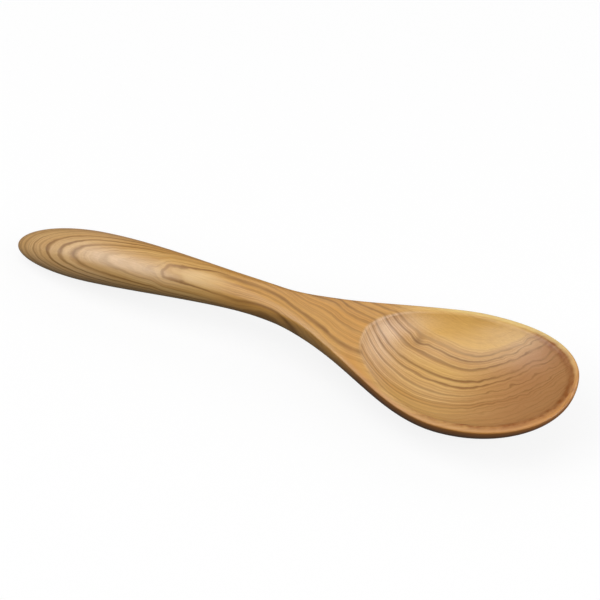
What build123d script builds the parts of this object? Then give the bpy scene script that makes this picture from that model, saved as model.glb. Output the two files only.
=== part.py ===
from build123d import *
import math
import os

# A serving spoon carved from one piece of olive wood: oval handle, slim neck, egg-shaped bowl.
# X runs along the spoon to the bowl's tip, Y across it, Z up from the table that it lies on,
# and the origin is on the table under the middle of its length. The belly of the bowl and the
# underside of the grip touch the table. The grip is placed from the handle's end, and all else
# from the bowl's tip.

# Outline seen from above
length = 255.0
grip_width = 23.8
grip_from_end = 41.0
neck_width = 15.2
neck_from_tip = 127.5
bowl_width = 65.2
bowl_from_tip = 44.5
tip_corner_share = 0.727

# Shoulder line, the widest line of every section, seen from the side
end_height = 5.55
end_rise_share = 0.20
crest_height = 20.3
crest_from_tip = 113.0
dip_height = 15.9
dip_from_tip = 61.0
tip_height = 24.2
tip_rise_share = 0.20

# Sections: an oval handle that turns into a bowl with a flat top and a round belly
grip_thickness = 21.6
oval_until_from_tip = 160.0
rim_rise = 2.0
rim_slope_share = 0.25
rim_corner_share = 0.857

# Hollow of the bowl
hollow_from_tip = 88.8
heel_rounding = 26.0
heel_corner_share = 0.767
rim_width = 2.9
rim_round = 1.2
floor_thickness = 5.5
mouth_lift = 6.0
overrun = 10.0

# Counts of sections along each carved surface, and of points across half a section
body_section_count = 44
hollow_section_count = 24
point_count = 21

ellipse_corner_share = math.sqrt(0.5)
oval_until = length - oval_until_from_tip
crest_at = length - crest_from_tip
neck_at = length - neck_from_tip
bowl_at = length - bowl_from_tip
dip_at = length - dip_from_tip
bowl_from = length - hollow_from_tip


def power(corner_share):
    """Exponent of the rounded outline whose corner reaches this share of both half sizes."""
    return math.log(0.5) / math.log(corner_share)


def rounded(share, corner_share=ellipse_corner_share):
    """Half size that is left at a share of the way from a rounded outline's middle to its end."""
    exponent = power(corner_share)
    return (1 - min(1, abs(share)) ** exponent) ** (1 / exponent)


def eased(share):
    """Step from 0 to 1 that is level at both ends."""
    return share * share * (3 - 2 * share)


def blended(share):
    """Step from 0 to 1 that is level and uncurved at both ends."""
    share = min(1, max(0, share))
    return share ** 3 * (share * (6 * share - 15) + 10)


def half_width(x):
    """Half of the spoon's width at a distance from the handle's end."""
    if x < grip_from_end:
        return grip_width / 2 * rounded(1 - x / grip_from_end)
    if x < neck_at:
        share = eased((x - grip_from_end) / (neck_at - grip_from_end))
        return (grip_width + (neck_width - grip_width) * share) / 2
    if x < bowl_at:
        share = eased((x - neck_at) / (bowl_at - neck_at))
        return (neck_width + (bowl_width - neck_width) * share) / 2
    return bowl_width / 2 * rounded((x - bowl_at) / bowl_from_tip, tip_corner_share)


def shoulder(x):
    """Height of the widest line: smooth curves from the end over the crest and the dip to the tip."""
    knots = [
        (0, end_height, end_rise_share),
        (crest_at, crest_height, 0),
        (dip_at, dip_height, 0),
        (length, tip_height, tip_rise_share),
    ]
    start, end = next(pair for pair in zip(knots, knots[1:]) if x <= pair[1][0])
    span = end[0] - start[0]
    share = (x - start[0]) / span
    height = start[1] + (end[1] - start[1]) * eased(share)
    return height + span * share * (1 - share) * (start[2] * (1 - share) - end[2] * share)


def section_sizes(x):
    """Half width, height above and depth below the shoulder line, and the upper side's exponent."""
    half = half_width(x)
    oval = half * grip_thickness / grip_width
    rim = min(rim_rise, half * rim_slope_share)
    reach = dip_from_tip if x > dip_at else dip_at - oval_until
    belly = dip_height * rounded((x - dip_at) / reach)
    share = blended((x - oval_until) / (bowl_from - oval_until))
    above = oval + (rim - oval) * share
    below = oval + (belly - oval) * share
    return half, above, below, 2 + (power(rim_corner_share) - 2) * share


def half_section(x, middle, half, height, exponent):
    """Upper or lower half of a rounded section, from its +Y side to its -Y side."""
    points = []
    for k in range(point_count):
        turn = math.pi * k / (point_count - 1)
        across, rise = math.cos(turn), math.sin(turn)
        reach = (abs(across) ** exponent + rise ** exponent) ** (-1 / exponent)
        points.append((x, half * across * reach, middle + height * rise * reach))
    upright = [(0, 0, math.pi * height), (0, 0, -math.pi * height)]
    steps = [k / (point_count - 1) for k in range(point_count)]
    return Edge.make_spline(points, tangents=upright, parameters=steps, scale=False)


def section(x, middle, half, above, below, upper=2):
    """Closed rounded section across the spoon, whose halves meet at its widest line."""
    top = half_section(x, middle, half, above, upper)
    bottom = half_section(x, middle, half, -below, 2)
    return Wire([top, bottom])


def stations(start, end, count):
    """Places between two blunt ends, closer together near both."""
    turns = [math.pi * k / (count + 1) for k in range(1, count + 1)]
    return [start + (end - start) * (1 - math.cos(turn)) / 2 for turn in turns]


def carved_body():
    """The spoon before its bowl is hollowed."""
    wires = []
    for x in stations(0, length, body_section_count):
        half, above, below, upper = section_sizes(x)
        wires.append(section(x, shoulder(x), half, above, below, upper))
    return Solid.make_loft([Vertex(0, 0, end_height), *wires, Vertex(length, 0, tip_height)])


# The hollow is widest above the bowl's flat top, and a little narrower at its mouth, so its walls
# lean outwards all round
hollow_depth = dip_height + rim_rise + mouth_lift - floor_thickness
mouth_share = rounded(mouth_lift / hollow_depth)
heel_at = dip_at - (hollow_from_tip - dip_from_tip) / mouth_share
toe_at = dip_at + (dip_from_tip - rim_width) / mouth_share
rounding_at = heel_at + heel_rounding


def hollow_height(x):
    """Height of the hollow's widest line, which is level past the bowl's tip."""
    return shoulder(min(x, length)) + rim_rise + mouth_lift


def hollow_half_width(x):
    """Half of the hollow's width: its mouth leaves the rim's width and is rounded off at the heel."""
    if x > bowl_at:
        share = (x - bowl_at) / (toe_at - bowl_at)
        return (bowl_width / 2 - rim_width) * rounded(share, tip_corner_share) / mouth_share
    share = max(0, (rounding_at - x) / heel_rounding)
    return (half_width(x) - rim_width) * rounded(share, heel_corner_share) / mouth_share


def hollow_tool():
    """Egg-shaped tool that cuts the hollow and leaves the rim and the floor."""
    wires = []
    for x in stations(heel_at, toe_at, hollow_section_count):
        half = hollow_half_width(x)
        reach = toe_at - dip_at if x > dip_at else dip_at - heel_at
        below = hollow_depth * rounded((x - dip_at) / reach)
        above = overrun * half / (bowl_width / 2)
        wires.append(section(x, hollow_height(x), half, above, below))
    ends = [Vertex(x, 0, hollow_height(x)) for x in (heel_at, toe_at)]
    return Solid.make_loft([ends[0], *wires, ends[1]])


body = carved_body()
tool = hollow_tool()
hollowed = body - tool
mouth = new_edges(body, tool, combined=hollowed)
spoon = Pos(-length / 2, 0, 0) * fillet(mouth, rim_round)
spoon.label = "spoon"

os.makedirs("parts", exist_ok=True)
export_step(spoon, "parts/spoon.step")
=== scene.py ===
import math

import bpy
from mathutils import Color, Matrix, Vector


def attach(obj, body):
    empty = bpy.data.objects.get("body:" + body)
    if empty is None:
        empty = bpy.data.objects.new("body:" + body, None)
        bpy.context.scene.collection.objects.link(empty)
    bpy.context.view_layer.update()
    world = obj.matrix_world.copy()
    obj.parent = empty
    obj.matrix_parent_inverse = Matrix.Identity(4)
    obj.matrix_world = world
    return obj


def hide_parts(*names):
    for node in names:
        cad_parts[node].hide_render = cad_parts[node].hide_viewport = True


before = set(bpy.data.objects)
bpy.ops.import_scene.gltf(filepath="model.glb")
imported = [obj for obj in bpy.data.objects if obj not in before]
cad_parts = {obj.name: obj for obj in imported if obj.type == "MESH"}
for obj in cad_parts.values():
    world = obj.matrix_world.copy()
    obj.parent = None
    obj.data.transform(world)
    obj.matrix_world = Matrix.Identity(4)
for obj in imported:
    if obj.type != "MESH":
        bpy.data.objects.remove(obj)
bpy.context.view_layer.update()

# The spoon: one piece of olive wood, sawn as a blank, then carved and sanded by hand. The grip is an
# oval, the neck is slim, and the bowl is hollowed with a gouge and left with a soft rounded rim.
# Its surface is swept from the sizes of the solid that it stands for.

mm = 0.001

# The rim reach is how far the rounding of the rim reaches outwards and down from the mouth's edge.
# On an edge that is blunter than a right angle, that is less than a fillet's radius.
spoon_sizes = {
    "Length": 255.0 * mm,
    "Grip width": 23.8 * mm,
    "Grip from end": 41.0 * mm,
    "Neck width": 15.2 * mm,
    "Neck from tip": 127.5 * mm,
    "Bowl width": 65.2 * mm,
    "Bowl from tip": 44.5 * mm,
    "End height": 5.55 * mm,
    "End rise": 0.20,
    "Crest height": 20.3 * mm,
    "Crest from tip": 113.0 * mm,
    "Dip height": 15.9 * mm,
    "Dip from tip": 61.0 * mm,
    "Tip height": 24.2 * mm,
    "Tip rise": 0.20,
    "Grip thickness": 21.6 * mm,
    "Oval until from tip": 160.0 * mm,
    "Rim rise": 2.0 * mm,
    "Rim slope": 0.25,
    "Hollow from tip": 88.8 * mm,
    "Heel rounding": 26.0 * mm,
    "Rim width": 2.9 * mm,
    "Rim reach": 1.05 * mm,
    "Floor thickness": 5.5 * mm,
    "Mouth lift": 6.0 * mm,
    "Gouge depth": 0.025 * mm,
    "Gouge spacing": 21.0 * mm,
}

# Exponents of the rounded outlines, from how far their corners reach
tip_power = math.log(0.5) / math.log(0.727)
rim_power = math.log(0.5) / math.log(0.857)
heel_power = math.log(0.5) / math.log(0.767)

# Rows of the outside along the handle, beside the mouth and at the toe, and the points of each row.
# The mouth's edge has two points for each row beside it.
handle_rows = 150
mouth_rows = 120
toe_rows = 14
row_points = 161
mouth_points = 2 * mouth_rows

# Rows of the inside over the rounded rim and down the hollow
rim_rows = 6
hollow_rows = 80

# How strongly the rounding is drawn to the mouth's edge, and how close points are that become one
rim_bend = 0.75
seam_gap = 0.003 * mm

# A quarter of a turn
quarter = math.pi / 2


class Wire:
    """An output in a node tree. Sums of wires and numbers add the Math nodes that work them out."""

    def __init__(self, tree, socket=None):
        self.tree = tree
        self.socket = socket

    def node(self, kind, settings=None, inputs=None, output=0):
        """One of the outputs of a new node, after its settings and then its inputs are set."""
        node = self.tree.nodes.new(kind)
        for name, value in (settings or {}).items():
            if name == "points":
                curve = node.mapping.curves[0].points
                while len(curve) < len(value):
                    curve.new(0.5, 0.5)
                for point, (place, height, handle) in zip(curve, value):
                    point.location = (place, height)
                    point.handle_type = handle
                node.mapping.update()
            else:
                setattr(node, name, value)
        for name, value in (inputs or {}).items():
            if isinstance(value, Wire):
                self.tree.links.new(value.socket, node.inputs[name])
            else:
                node.inputs[name].default_value = value
        return None if output is None else Wire(self.tree, node.outputs[output])

    def math(self, operation, *values):
        """A Math node on this number and others."""
        return self.node("ShaderNodeMath", {"operation": operation}, dict(enumerate((self, *values))))

    def __add__(self, other):
        return self.math("ADD", other)

    def __sub__(self, other):
        return self.math("SUBTRACT", other)

    def __mul__(self, other):
        return self.math("MULTIPLY", other)

    def __truediv__(self, other):
        return self.math("DIVIDE", other)

    def __pow__(self, other):
        return self.math("POWER", other)

    def __rsub__(self, other):
        return self.node("ShaderNodeMath", {"operation": "SUBTRACT"}, {0: other, 1: self})

    def __rtruediv__(self, other):
        return self.node("ShaderNodeMath", {"operation": "DIVIDE"}, {0: other, 1: self})

    def __abs__(self):
        return self.math("ABSOLUTE")

    __radd__ = __add__
    __rmul__ = __mul__

    def share(self, start, end, low=0.0, high=1.0, way="LINEAR"):
        """The value's way from start to end, kept between them, as a number from low to high."""
        inputs = {"Value": self, "From Min": start, "From Max": end, "To Min": low, "To Max": high}
        return self.node("ShaderNodeMapRange", {"interpolation_type": way}, inputs)

    def eased(self, start, end, low=0.0, high=1.0):
        """The same, level at both ends."""
        return self.share(start, end, low, high, "SMOOTHSTEP")

    def rounded(self, power=2.0):
        """Half size that is left at a share of the way from a rounded outline's middle to its end."""
        return (1 - self ** power) ** (1 / power)

    def vector(self, operation, *others):
        """A Vector Math node on this vector and another, or the number that scales it."""
        sockets = ["Scale"] if operation == "SCALE" else [1]
        inputs = {0: self, **dict(zip(sockets, others))}
        return self.node("ShaderNodeVectorMath", {"operation": operation}, inputs)

    def length(self):
        """The length of this vector."""
        return self.node("ShaderNodeVectorMath", {"operation": "LENGTH"}, {0: self}, "Value")

    def parts(self):
        """The three numbers of this vector."""
        return [self.node("ShaderNodeSeparateXYZ", {}, {"Vector": self}, axis) for axis in range(3)]

    def point(self, x, y, z):
        """A vector of three numbers."""
        return self.node("ShaderNodeCombineXYZ", {}, {"X": x, "Y": y, "Z": z})

    def lumps(self, lengths, detail=1.0):
        """Noise at this place whose lumps have these lengths. Its usual 0.25 to 0.75 become -1 to 1."""
        inputs = {"Vector": self.vector("DIVIDE", lengths), "Scale": 1.0, "Detail": detail}
        return self.node("ShaderNodeTexNoise", {}, inputs) * 4 - 2

    def curve(self, points, handle="AUTO"):
        """The height at this value of a curve through the points, both from 0 to 1."""
        settings = {"points": [(place, height, handle) for place, height in points]}
        return self.node("ShaderNodeFloatCurve", settings, {"Value": self})

    def mixed(self, first, second):
        """A colour this far on the way from the first to the second."""
        return self.node("ShaderNodeMix", {"data_type": "RGBA"}, {0: self, 6: first, 7: second}, 2)


tree = bpy.data.node_groups.new("carved_spoon", "GeometryNodeTree")
tree.interface.new_socket("Geometry", in_out="OUTPUT", socket_type="NodeSocketGeometry")
for name in spoon_sizes:
    tree.interface.new_socket(name, in_out="INPUT", socket_type="NodeSocketFloat")
group_input = tree.nodes.new("NodeGroupInput")
size = {name: Wire(tree, group_input.outputs[name]) for name in spoon_sizes}
carve = Wire(tree)

neck_at = size["Length"] - size["Neck from tip"]
crest_at = size["Length"] - size["Crest from tip"]
oval_until = size["Length"] - size["Oval until from tip"]
bowl_at = size["Length"] - size["Bowl from tip"]
dip_at = size["Length"] - size["Dip from tip"]
bowl_from = size["Length"] - size["Hollow from tip"]
neck_change = size["Neck width"] - size["Grip width"]
bowl_change = size["Bowl width"] - size["Neck width"]
dip_change = size["Dip height"] - size["Crest height"]
tip_change = size["Tip height"] - size["Dip height"]
end_bulge = crest_at * size["End rise"]
tip_bulge = size["Dip from tip"] * size["Tip rise"]
oval_ratio = size["Grip thickness"] / size["Grip width"]
mouth_rise = size["Rim rise"] + size["Mouth lift"]
hollow_depth = size["Dip height"] + mouth_rise - size["Floor thickness"]
mouth_share = (size["Mouth lift"] / hollow_depth).rounded()
heel_reach = (size["Hollow from tip"] - size["Dip from tip"]) / mouth_share
toe_reach = (size["Dip from tip"] - size["Rim width"]) / mouth_share
heel_at = dip_at - heel_reach
toe_at = dip_at + toe_reach
heel_rounded_at = heel_at + size["Heel rounding"]


def plan(x):
    """Half width of the spoon at a distance from the handle's end, before its tip is rounded."""
    grip = x.share(size["Grip from end"], 0.0).rounded() * size["Grip width"]
    neck = x.eased(size["Grip from end"], neck_at, 0.0, neck_change)
    bowl = x.eased(neck_at, bowl_at, 0.0, bowl_change)
    return (grip + neck + bowl) / 2


def half_width(x):
    """Half width of the spoon at a distance from the handle's end."""
    return plan(x) * x.share(bowl_at, size["Length"]).rounded(tip_power)


def shoulder(x):
    """Height of the widest line, from the end over the crest and the dip to the tip."""
    rise = x.share(0.0, crest_at)
    lift = x.share(dip_at, size["Length"])
    height = x.eased(0.0, crest_at, size["End height"], size["Crest height"])
    height = height + x.eased(crest_at, dip_at, 0.0, dip_change)
    height = height + x.eased(dip_at, size["Length"], 0.0, tip_change)
    return height + (1 - rise) ** 2.0 * rise * end_bulge - lift ** 2.0 * (1 - lift) * tip_bulge


def rim_height(half):
    """Height of the bowl's flat top above the widest line, where the spoon has this half width."""
    return (half * size["Rim slope"]).math("MINIMUM", size["Rim rise"])


def top_height(x, y):
    """Height of a place on the flat top above the widest line."""
    half = half_width(x)
    return rim_height(half) * (abs(y) / half).math("MINIMUM", 1.0).rounded(rim_power)


def wall(turn, depth):
    """Place on the hollow's wall at a turn round it, at a share of the depth below its widest line."""
    reach = (1 - depth * depth).math("MAXIMUM", 0.0).math("SQRT")
    along = reach * turn.math("COSINE")
    x = dip_at + along.math("MAXIMUM", 0.0) * toe_reach + along.math("MINIMUM", 0.0) * heel_reach
    half = (plan(x) - size["Rim width"]) * x.share(heel_rounded_at, heel_at).rounded(heel_power)
    half = half * x.share(bowl_at, toe_at).rounded(tip_power) / mouth_share
    slant = reach * turn.math("SINE") / depth
    return x, half * slant / (slant * slant + 1).math("SQRT")


# The mouth's edge, where the hollow meets the flat top: a ring of points, with the way out of each.
# Its depth starts as a guess, which the flat top's height at that place corrects.
index = carve.node("GeometryNodeInputIndex")
position = carve.node("GeometryNodeInputPosition")
point_turn = 2 * math.pi / mouth_points
turn = index * point_turn
corrections = 3
depth = (size["Mouth lift"] + size["Rim rise"] / 8) / hollow_depth
for correction in range(corrections):
    x, y = wall(turn, depth)
    depth = (mouth_rise - top_height(x, y)) / hollow_depth
x, y = wall(turn, depth)
edge = carve.point(x, y, shoulder(x) + top_height(x, y))
mouth = carve.node("GeometryNodeCurvePrimitiveCircle", {}, {"Resolution": mouth_points, "Radius": 1.0})
mouth = carve.node("GeometryNodeSetPosition", {}, {"Geometry": mouth, "Position": edge})
way = carve.node("GeometryNodeInputTangent").vector("CROSS_PRODUCT", (0.0, 0.0, 1.0))
way = way.vector("NORMALIZE").vector("SCALE", size["Rim reach"])
x, y = position.vector("ADD", way).parts()[:2]
foot = carve.point(x, y, shoulder(x) + top_height(x, y))


def on_mouth(value, number, kind="FLOAT_VECTOR"):
    """The value at the point of the mouth's edge that has this number."""
    inputs = {"Geometry": mouth, "Value": value, "Index": number}
    return carve.node("GeometryNodeSampleIndex", {"data_type": kind}, inputs)


def grid(rows, columns):
    """A grid of points, with the row and the column of each."""
    row = ((index + 0.5) / columns).math("FLOOR")
    mesh = carve.node("GeometryNodeMeshGrid", {}, {"Vertices X": rows, "Vertices Y": columns})
    return mesh, row, index - row * columns


def placed(mesh, place, **numbers):
    """The mesh with its points at these places, and with the numbers that the material reads."""
    mesh = carve.node("GeometryNodeSetPosition", {}, {"Geometry": mesh, "Position": place})
    for name, value in numbers.items():
        inputs = {"Geometry": mesh, "Name": name, "Value": value}
        mesh = carve.node("GeometryNodeStoreNamedAttribute", {}, inputs)
    return mesh


# The outside: rows across the spoon from its end to its tip, each open between the mouth's edges.
# They crowd together towards both ends, and the last one closes to a point.
mouth_end = handle_rows + mouth_rows
last_row = mouth_end + toe_rows
never_zero = 0.0001 * mm
outside, row, column = grid(last_row + 1, row_points)
before = row.share(0.0, handle_rows, 0.0, quarter).math("COSINE")
beside = row.share(handle_rows, mouth_end, mouth_rows, 0.0)
after = row.share(mouth_end, last_row, 0.0, quarter).math("SINE")
x, y = on_mouth(foot, beside).parts()[:2]
heel_end = on_mouth(foot, mouth_rows).parts()[0]
toe_end = on_mouth(foot, 0).parts()[0]
x = x - heel_end * before + (size["Length"] - toe_end) * after
half = half_width(x)
oval = half * oval_ratio
belly = (x.share(dip_at, size["Length"]) + x.share(dip_at, oval_until)).rounded() * size["Dip height"]
bowl_share = x.share(oval_until, bowl_from, way="SMOOTHERSTEP")
above = oval + (rim_height(half) - oval) * bowl_share
below = oval + (belly - oval) * bowl_share
power = bowl_share * (rim_power - 2) + 2
until = (abs(y) / half.math("MAXIMUM", never_zero)).math("MINIMUM", 1.0)
last = until.rounded(power).math("ARCTAN2", until)
side = column.share(0.0, row_points - 1, -1.0, 1.0)
angle = abs(side).share(0.0, 0.5, -quarter, 0.0) + abs(side).share(0.5, 1.0) * last
on_top = angle.math("GREATER_THAN", 0.0)
power = (power - 2) * on_top + 2
stretch = abs(angle.math("COSINE")) ** power + abs(angle.math("SINE")) ** power
stretch = stretch ** (-1 / power) * row.math("LESS_THAN", last_row - 0.5)
across = half * angle.math("COSINE") * stretch
rise = (below + (above - below) * on_top) * angle.math("SINE") * stretch
place = carve.point(x - size["Length"] / 2, across * side.math("SIGN"), shoulder(x) + rise)
over_rim = angle.share(-quarter, 0.0, -1.0, 0.0) + angle / last * on_top
outside = placed(outside, place, rim=over_rim)

# The inside: rows round the mouth, over the rounded rim and then down the hollow to its middle
inside, row, column = grid(rim_rows + hollow_rows + 1, mouth_points + 1)
column = column.math("MODULO", mouth_points)
first = (on_mouth(depth, column, "FLOAT") + size["Rim reach"] / hollow_depth).math("ARCSINE")
sunk = row.share(rim_rows, rim_rows + hollow_rows)
depth = (first + (quarter - first) * sunk).math("SINE")
x, y = wall(column * point_turn, depth)
low = carve.point(x, y, shoulder(x) + mouth_rise - hollow_depth * depth)
over = row.share(0.0, rim_rows)
weights = [(1 - over) ** 2.0, (1 - over) * over * (2 * rim_bend), over ** 2.0]
whole = weights[0] + weights[1] + weights[2]
place = carve.point(size["Length"] / -2, 0.0, 0.0)
for corner, weight in zip((on_mouth(foot, column), on_mouth(position, column), low), weights):
    place = place.vector("ADD", corner.vector("SCALE", weight / whole))
over_rim = row.share(0.0, 2 * rim_rows, 1.0, 3.0)
inside = placed(inside, place, rim=over_rim, hollow=over)

# Both are joined along the rim and the seams, and the gouge leaves faint waves
join = tree.nodes.new("GeometryNodeJoinGeometry")
for shell in (outside, inside):
    tree.links.new(shell.socket, join.inputs[0])
shell = Wire(tree, join.outputs[0])
shell = carve.node("GeometryNodeMergeByDistance", {}, {"Geometry": shell, "Distance": seam_gap})
shell = carve.node("GeometryNodeFlipFaces", {}, {"Mesh": shell})
waves = position.lumps(carve.point(size["Gouge spacing"] * 2, size["Gouge spacing"], size["Gouge spacing"]))
offset = carve.node("GeometryNodeInputNormal").vector("SCALE", waves * size["Gouge depth"])
shell = carve.node("GeometryNodeSetPosition", {}, {"Geometry": shell, "Offset": offset})
shell = carve.node("GeometryNodeSetShadeSmooth", {}, {"Geometry": shell})

# The grain. Its places and widths are in millimetres, with x along the spoon from its middle, y
# across it and z up. On the handle the growth rings lie round a pith line that ran above it, so the
# cuts open them into long tongues. In the bowl they stand nearly upright and sweep across it.

# The pith line, as pairs of x and y and of x and z
pith_y = [(-128, -58.1), (-80, -50.2), (-40, -38.9), (0, -23.1), (40, -18.7)]
pith_z = [(-128, 74.0), (-80, 79.7), (-40, 85.9), (0, 91.4), (40, 90.1)]

# How far the rings of the neck and of the bowl lie to the side at an x, how far they spread there,
# and how far across they lean for each step up
neck_path = [(-50, 7.4), (-35, 10.4), (-20, 11.4), (-5, 11.3), (10, 7.2), (22, 2.9), (32, -1.4), (42, -2.6)]
neck_spread = [(-50, 0.63), (-20, 1.07), (5, 0.88), (25, 1.33), (42, 1.38)]
bowl_path = [(36, 16.1), (50, 4.1), (65, 0.0), (80, 0.0), (95, 7.3), (110, 20.3), (128, 42.1)]
bowl_spread = [(36, 0.92), (50, 1.01), (65, 1.07), (80, 1.0), (95, 1.03), (110, 1.10), (128, 0.71)]
ring_lean = 0.42

# The growth rings, each with its level, half its width and how dark it is. The level is the distance
# from the pith on the handle, and the distance across on the neck and in the bowl.
handle_span = (62.0, 98.0)
handle_rings = [
    (65.0, 0.4, 0.25), (66.6, 0.4, 0.25), (68.4, 0.4, 0.3), (70.3, 0.3, 0.95), (72.8, 0.35, 0.4),
    (74.8, 0.42, 0.95), (76.4, 0.42, 0.95), (78.3, 0.42, 0.9), (79.7, 0.3, 0.3), (81.2, 0.4, 0.6),
    (82.6, 0.35, 0.3), (83.9, 0.6, 0.65), (86.0, 0.5, 0.5), (87.3, 0.5, 0.7), (89.5, 0.6, 0.5),
    (91.6, 0.5, 0.7), (93.0, 0.5, 0.4), (95.5, 0.6, 0.6),
]
neck_span = (-40.0, 40.0)
neck_rings = [
    (-34.0, 1.2, 0.5), (-29.0, 1.0, 0.4), (-25.0, 1.0, 0.6), (-21.0, 0.9, 0.4), (-17.5, 1.0, 0.75),
    (-14.6, 0.9, 0.5), (-11.9, 1.0, 0.75), (-8.8, 1.1, 0.95), (-5.6, 0.7, 0.2), (-2.9, 1.0, 0.4),
    (0.0, 1.6, 1.0), (2.8, 0.8, 0.3), (4.6, 0.6, 0.3), (6.8, 0.8, 0.5), (8.8, 0.6, 0.35),
    (11.4, 0.7, 0.9), (13.7, 0.7, 0.9), (15.4, 0.5, 0.4), (16.8, 0.7, 0.85), (19.4, 0.7, 0.75),
    (22.0, 0.8, 0.6), (25.5, 0.9, 0.4), (30.0, 1.0, 0.5), (35.0, 1.0, 0.4),
]
bowl_span = (-45.0, 45.0)
bowl_rings = [
    (-38.0, 0.9, 0.45), (-33.5, 0.8, 0.4), (-29.5, 0.8, 0.4), (-25.7, 0.9, 0.4), (-21.9, 0.8, 0.5),
    (-18.6, 0.6, 0.3), (-15.7, 0.7, 0.45), (-13.5, 0.6, 0.4), (-11.5, 0.7, 0.75), (-9.6, 0.7, 0.75),
    (-6.3, 0.7, 0.4), (-3.2, 0.8, 0.8), (-0.4, 0.5, 0.3), (2.1, 0.95, 0.95), (5.4, 1.0, 1.0),
    (11.9, 1.0, 0.95), (16.1, 0.85, 0.85), (19.0, 0.75, 0.75), (36.0, 0.9, 0.2),
]

# How dark a ring is across it, as shares of its half width and of its darkest
ring_profile = [(-1.0, 0.0), (-0.4, 0.7), (0.0, 1.0), (0.4, 0.8), (0.8, 0.0)]

olive_wood = bpy.data.materials.new("olive_wood")
olive_wood.use_nodes = True
olive_wood.node_tree.nodes.clear()
grain = Wire(olive_wood.node_tree)
place = grain.node("ShaderNodeTexCoord", output="Object").vector("SCALE", 1 / mm)
x, y, z = place.parts()

# Two numbers stored on the surface: rim is -1 under the belly, 0 at the widest line, 1 where the
# rounding of the rim starts, 2 where it ends and 3 a little further down the wall. Hollow is 0
# outside and 1 inside.
rim = grain.node("ShaderNodeAttribute", {"attribute_name": "rim"}, output="Fac")
hollow = grain.node("ShaderNodeAttribute", {"attribute_name": "hollow"}, output="Fac")

# How far the neck's grain has taken over from the handle's, and the bowl's from the neck's
in_neck = x.eased(-38.0, -12.0)
in_bowl = hollow.math("MAXIMUM", x.eased(38.0, 62.0))


def along(knots, low, high):
    """The value at this place of a curve along the spoon through the knots, kept from low to high."""
    start, end = knots[0][0], knots[-1][0]
    points = [((knot - start) / (end - start), (value - low) / (high - low)) for knot, value in knots]
    return x.share(start, end).curve(points) * (high - low) + low


def ring_curve(level, span, rings):
    """How dark the growth rings of a list are at a level."""
    start, end = span
    points = [(0.0, 0.0), (1.0, 0.0)]
    for middle, half, dark in rings:
        for aside, part in ring_profile:
            points.append(((middle + half * aside - start) / (end - start), dark * part))
    return level.share(start, end).curve(sorted(points), "VECTOR")


def faded(handle, neck, bowl):
    """One value that fades from the handle's over the neck's to the bowl's."""
    return handle + (neck - handle) * in_neck + (bowl - neck) * in_bowl


# The levels wander, ripple more and more towards the bowl's tip and bend round a small knot
knot_place = (58.0, 13.4, 10.0)
knot = place.vector("SUBTRACT", knot_place).length().eased(5.0, 0.5)
wander = place.lumps((45.0, 22.0, 22.0)) * 0.3 + place.lumps((10.0, 4.0, 4.0)) * 0.16
wander = wander + place.lumps((3.0, 1.5, 1.5)) * 0.08
ripple = place.lumps((8.0, 6.0, 6.0)) * x.share(80.0, 106.0, 0.25, 1.5)
ripple = ripple + place.lumps((26.0, 14.0, 14.0)) * 0.5
ripple = ripple + place.lumps((3.5, 2.5, 2.5), 2.0) * x.share(74.0, 100.0, 0.0, 0.5)
from_pith = grain.point(0.0, y - along(pith_y, -60.0, -10.0), z - along(pith_z, 70.0, 100.0))
handle_level = from_pith.length() + wander + x.eased(-48.0, -55.0)
upright = y + z * ring_lean
neck_level = (upright - along(neck_path, -5.0, 15.0)) / along(neck_spread, 0.5, 1.5) + wander * 1.5
bowl_level = (upright - along(bowl_path, 0.0, 43.0)) / along(bowl_spread, 0.7, 1.15)
bowl_level = bowl_level + wander + ripple + knot * 1.5

# Dark rings, soft bands and fine lines follow the levels. The rings are fainter in places and where
# the longest tongue ends, and broken up near the bowl's tip.
tongue_end = -49.5
handle_ring = ring_curve(handle_level, handle_span, handle_rings)
handle_ring = handle_ring * abs(x - tongue_end).share(2.0, 8.0, 0.75, 1.0)
neck_ring = ring_curve(neck_level, neck_span, neck_rings)
bowl_ring = ring_curve(bowl_level, bowl_span, bowl_rings)
broken = place.lumps((9.0, 3.0, 3.0), 2.0).share(-0.6, 0.9) * x.eased(82.0, 104.0) * in_bowl
ring = faded(handle_ring, neck_ring, bowl_ring)
ring = ring * place.lumps((24.0, 6.0, 6.0)).share(-1.2, 0.5, 0.5, 1.0)
ring = ring * (1 - broken * 0.65)
beds = [grain.point(x, level, y) for level in (handle_level, neck_level * 0.7, bowl_level * 0.6)]
bands = faded(*[bed.lumps((90.0, 1.5, 40.0), 2.0) for bed in beds])
fine = faded(*[bed.lumps((55.0, 0.36, 15.0), 3.0) for bed in beds])

# Areas of the wood: its patches, fibres and pores, the plain far side of the bowl, and its tip, which is
# browner and carries painted shade on its walls, its pale heel with a painted sheen, the paler grip with
# a painted sheen on its top, the long tongue, the golden far side of the handle, and how strongly soft
# bands and fine lines show
patches = place.lumps((42.0, 16.0, 16.0))
fibres = place.lumps((7.0, 0.35, 0.35), 3.0)
pores = place.lumps((2.4, 0.16, 0.16)).share(0.9, 1.5)
plain = bowl_level.share(19.6, 23.0) * in_bowl * rim.share(-0.4, 0.6, 0.35, 1.0)
# Towards the bowl's tip the hollow is browner wood, darkened further with painted shade on its walls there
browner_tip_and_shade = x.eased(70.0, 110.0) * bowl_level.eased(24.0, 8.0)
browner_tip_and_shade = browner_tip_and_shade * rim.share(1.2, 2.4).math("MAXIMUM", x.eased(92.0, 108.0))
# The heel of the hollow is paler wood with a painted sheen on it
pale_heel_and_sheen = hollow * x.eased(62.0, 44.0)
grip = x.eased(-55.0, -85.0)
grip_end = x.eased(-120.0, -127.5)
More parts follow.
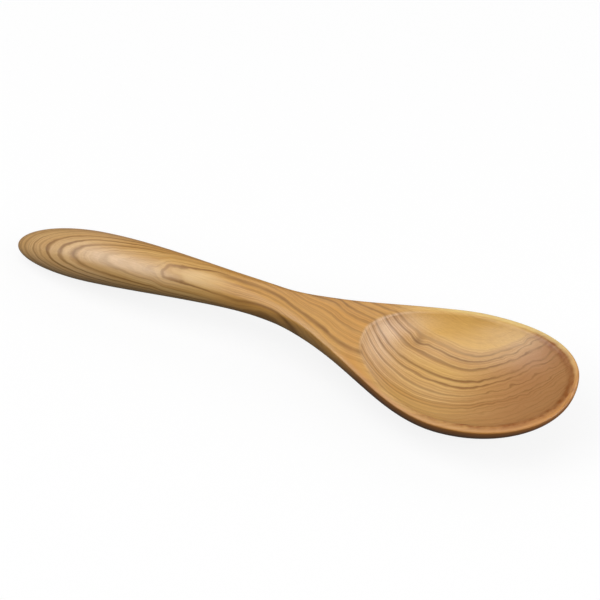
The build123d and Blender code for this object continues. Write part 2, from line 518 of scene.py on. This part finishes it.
# Painted sheen: a pale patch on the grip's top where the lamps' highlight falls, also laid thinly over the
# long tongue
sheen_place = (-66.0, -7.5, 22.5)
sheen_reach = (36.0, 5.0, 6.0)
grip_painted_sheen = place.vector("SUBTRACT", sheen_place).vector("DIVIDE", sheen_reach).length().eased(1.0, 0.2)
tongue = handle_level.share(70.2, 69.6) * x.eased(-18.0, -38.0)
grip_painted_sheen = grip_painted_sheen.math("MAXIMUM", tongue * 0.3)
golden = (y.eased(-1.0, 7.0) + in_neck * 0.8).math("MINIMUM", 1.0) * (1 - in_bowl)
golden = golden * place.lumps((70.0, 6.0, 6.0)).share(-1.0, 0.4, 0.5, 1.0)
lined = 1 - plain.math("MAXIMUM", tongue) * 0.8

# The rim: darker on the near side and round the tip, with painted shade darkening its outer side
# there towards the widest line, lighter on the far side with painted light, and burnt in specks along
# its inner edge. Below it, painted shade darkens the near side of the belly.
near_side = y.eased(4.0, -12.0).math("MAXIMUM", x.eased(112.0, 125.0))
near_rim = x.eased(30.0, 54.0) * near_side * rim.share(x.eased(60.0, 100.0) * 0.3 + 1.0, 0.75)
near_rim = near_rim * rim.share(-0.5, 0.0, 0.4, 1.0)
# Painted light lightens the far side of the rim
far_rim_painted_light = x.eased(50.0, 70.0) * y.eased(0.0, 12.0) * rim.share(1.3, 0.9) * rim.share(-0.2, 0.5)
burnt = (x.eased(90.0, 114.0) + y.eased(2.0, -14.0) * x.eased(62.0, 84.0)).math("MINIMUM", 1.0)
burnt = burnt * rim.share(0.8, 1.05) * rim.share(2.4, 1.8)
specks = place.lumps((4.0, 4.0, 4.0), 3.0).share(-0.4, 0.6)
# Painted shade: the near side of the belly is darkened below the widest line, fading further under it
belly_painted_shade = rim.share(0.02, -0.18) * rim.share(-0.9, -0.4, 0.35, 1.0)
belly_painted_shade = belly_painted_shade * x.eased(20.0, 54.0, 0.15, 0.9) * y.eased(0.0, -20.0, 0.3, 1.0)


def paint(red, green, blue):
    """The light that a colour written as on a screen stands for."""
    return (*Color((red / 255, green / 255, blue / 255)).from_srgb_to_scene_linear(), 1.0)


# The colours are laid over one another, each as strong as its share
layers = [
    (golden * 0.9, paint(214, 150, 54)),
    (plain * 0.85, paint(222, 176, 88)),
    # the pale heel, partly a painted sheen
    (pale_heel_and_sheen * 0.7, paint(230, 202, 172)),
    (grip * 0.45, paint(228, 193, 152)),
    (bands.share(-0.9, 0.9, 0.0, 0.8) * lined * (1 - grip * 0.35), paint(194, 144, 72)),
    (fine.share(-0.1, 1.0, 0.0, 0.85) * lined * (1 - grip * 0.3), paint(158, 106, 44)),
    # painted sheen on the grip's top and over the tongue
    (grip_painted_sheen * 0.55, paint(238, 208, 172)),
    # browner wood towards the bowl's tip, partly painted shade on the hollow's walls
    (browner_tip_and_shade * 0.8, paint(178, 122, 79)),
    (ring * 0.97, paint(112, 70, 18)),
    (fibres.share(-1.5, 1.5, 0.0, 0.5), paint(174, 122, 60)),
    (pores * 0.45 + knot ** 3.0 * 0.5, paint(110, 72, 40)),
    # painted light on the far side of the rim
    (far_rim_painted_light * 0.8, paint(236, 204, 130)),
    (near_rim * 0.8, paint(198, 136, 60)),
    # painted shade down the near rim's outer side, over its orange-brown wood
    (near_rim * rim.share(0.8, 0.3) * 0.75, paint(138, 80, 26)),
    (burnt * (specks * 0.6 + 0.3), paint(142, 78, 20)),
    # painted shade on the near side of the belly
    (belly_painted_shade, paint(84, 48, 20)),
    (grip_end * 0.25, paint(168, 112, 48)),
]
wood = patches.share(-1.0, 1.0).mixed(paint(227, 191, 131), paint(223, 183, 107))
for share, colour in layers:
    wood = share.mixed(wood, colour)

# Sanded and oiled: rings, fibres and pores are felt a little, under a thin satin coat
relief = ring * -0.5 + fibres * 0.25 - pores
bump = grain.node("ShaderNodeBump", {}, {"Strength": 0.45, "Distance": 0.12 * mm, "Height": relief})
roughness = patches.share(-1.0, 1.0, 0.38, 0.47) + ring * 0.08 + pores * 0.1
oil = {"Coat Weight": 0.45, "Coat Roughness": 0.26}
finish = {"Base Color": wood, "Roughness": roughness, "Normal": bump, **oil}
surface = grain.node("ShaderNodeBsdfPrincipled", {}, finish)
grain.node("ShaderNodeOutputMaterial", {}, {"Surface": surface}, None)

shell = carve.node("GeometryNodeRealizeInstances", {}, {"Geometry": shell})
shell = carve.node("GeometryNodeSetMaterial", {}, {"Geometry": shell, "Material": olive_wood})
tree.links.new(shell.socket, tree.nodes.new("NodeGroupOutput").inputs[0])

blank = bpy.data.objects.new("spoon_blank", bpy.data.meshes.new("spoon_blank"))
bpy.context.scene.collection.objects.link(blank)
carving = blank.modifiers.new("carving", "NODES")
carving.node_group = tree
for item in tree.interface.items_tree:
    if item.in_out == "INPUT":
        carving[item.identifier] = spoon_sizes[item.name]
shape = bpy.data.meshes.new_from_object(blank.evaluated_get(bpy.context.evaluated_depsgraph_get()))
bpy.data.objects.remove(blank)
spoon = bpy.data.objects.new("carved_spoon", shape)
bpy.context.scene.collection.objects.link(spoon)

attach(spoon, "root")
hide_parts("spoon")

# The camera stands on the near side of the spoon, a little towards the bowl's tip, raised to the
# photograph's angle. A long lens lets the spoon fill the frame as it does there.
view_target = Vector((4.2 * mm, 12.9 * mm, 12.0 * mm))
azimuth = math.radians(24.06)
elevation = math.radians(46.0)
distance = 627.0 * mm
level_share = math.cos(elevation)
back = Vector((math.sin(azimuth) * level_share, -math.cos(azimuth) * level_share, math.sin(elevation)))
camera = bpy.data.objects.new("camera", bpy.data.cameras.new("camera"))
camera.data.lens = 88.6
camera.data.sensor_width = 36.0
camera.data.clip_start = 10.0 * mm
camera.location = view_target + back * distance
camera.rotation_euler = back.to_track_quat("Z", "Y").to_euler()
bpy.context.scene.collection.objects.link(camera)
bpy.context.scene.camera = camera

# The floor: a wide pale sheet that the spoon lies on. The camera sees it as white but for the soft
# shadow, and what the spoon gets back from it is dull, so that it doesn't light the belly.
floor_reach = 2500.0 * mm
corners = [(x * floor_reach, y * floor_reach, 0.0) for x, y in ((-1, -1), (1, -1), (1, 1), (-1, 1))]
floor_mesh = bpy.data.meshes.new("floor")
floor_mesh.from_pydata(corners, [], [(0, 1, 2, 3)])
floor = bpy.data.objects.new("floor", floor_mesh)
bpy.context.scene.collection.objects.link(floor)


def grey(light):
    """A colour without a hue, from 0 for black to 1 for white."""
    return (light, light, light, 1.0)


sheet = bpy.data.materials.new("sheet")
sheet.use_nodes = True
sheet.node_tree.nodes.clear()
paper = Wire(sheet.node_tree)
seen = paper.node("ShaderNodeLightPath", output="Is Camera Ray")
dull = paper.node("ShaderNodeBsdfDiffuse", {}, {"Color": grey(0.12)})
matt = paper.node("ShaderNodeBsdfDiffuse", {}, {"Color": grey(0.9)})
white = paper.node("ShaderNodeEmission", {}, {"Color": grey(1.0), "Strength": 1.0})
both = paper.node("ShaderNodeMixShader", {}, {0: 0.85, 1: matt, 2: white})
both = paper.node("ShaderNodeMixShader", {}, {0: seen, 1: dull, 2: both})
paper.node("ShaderNodeOutputMaterial", {}, {"Surface": both}, None)
floor_mesh.materials.append(sheet)

# The studio: white to the camera, nearly dark to the spoon, and lit by seven large soft lamps that
# hang round it at one distance and face it
world = bpy.data.worlds.new("studio")
bpy.context.scene.world = world
world.use_nodes = True
world.node_tree.nodes.clear()
air = Wire(world.node_tree)
seen = air.node("ShaderNodeLightPath", output="Is Camera Ray")
soft = air.node("ShaderNodeBackground", {}, {"Color": grey(1.0), "Strength": 0.03})
white = air.node("ShaderNodeBackground", {}, {"Color": grey(1.0), "Strength": 1.0})
both = air.node("ShaderNodeMixShader", {}, {0: seen, 1: soft, 2: white})
air.node("ShaderNodeOutputWorld", {}, {"Surface": both}, None)

# Each lamp has the direction in which it hangs, seen from the spoon, and its watts
lamp_distance = 1300.0 * mm
lamp_width = 800.0 * mm
lamps = [
    ("left", (-0.57, 0.0, 0.82), 4.8),
    ("overhead", (0.0, 0.0, 1.0), 3.6),
    ("back", (0.0, 0.80, 0.60), 2.2),
    ("right", (0.89, 0.0, 0.45), 7.4),
    ("back_right", (0.72, 0.62, 0.34), 3.6),
    ("front_left", (-0.62, -0.50, 0.66), 6.6),
    ("front_right", (0.60, -0.52, 0.66), 3.4),
]
for name, direction, watts in lamps:
    lamp = bpy.data.lights.new(name, "AREA")
    lamp.size = lamp_width
    lamp.energy = watts
    holder = bpy.data.objects.new(name, lamp)
    towards = Vector(direction).normalized()
    holder.location = towards * lamp_distance
    holder.rotation_euler = towards.to_track_quat("Z", "Y").to_euler()
    bpy.context.scene.collection.objects.link(holder)

bpy.context.scene.view_settings.view_transform = "Standard"
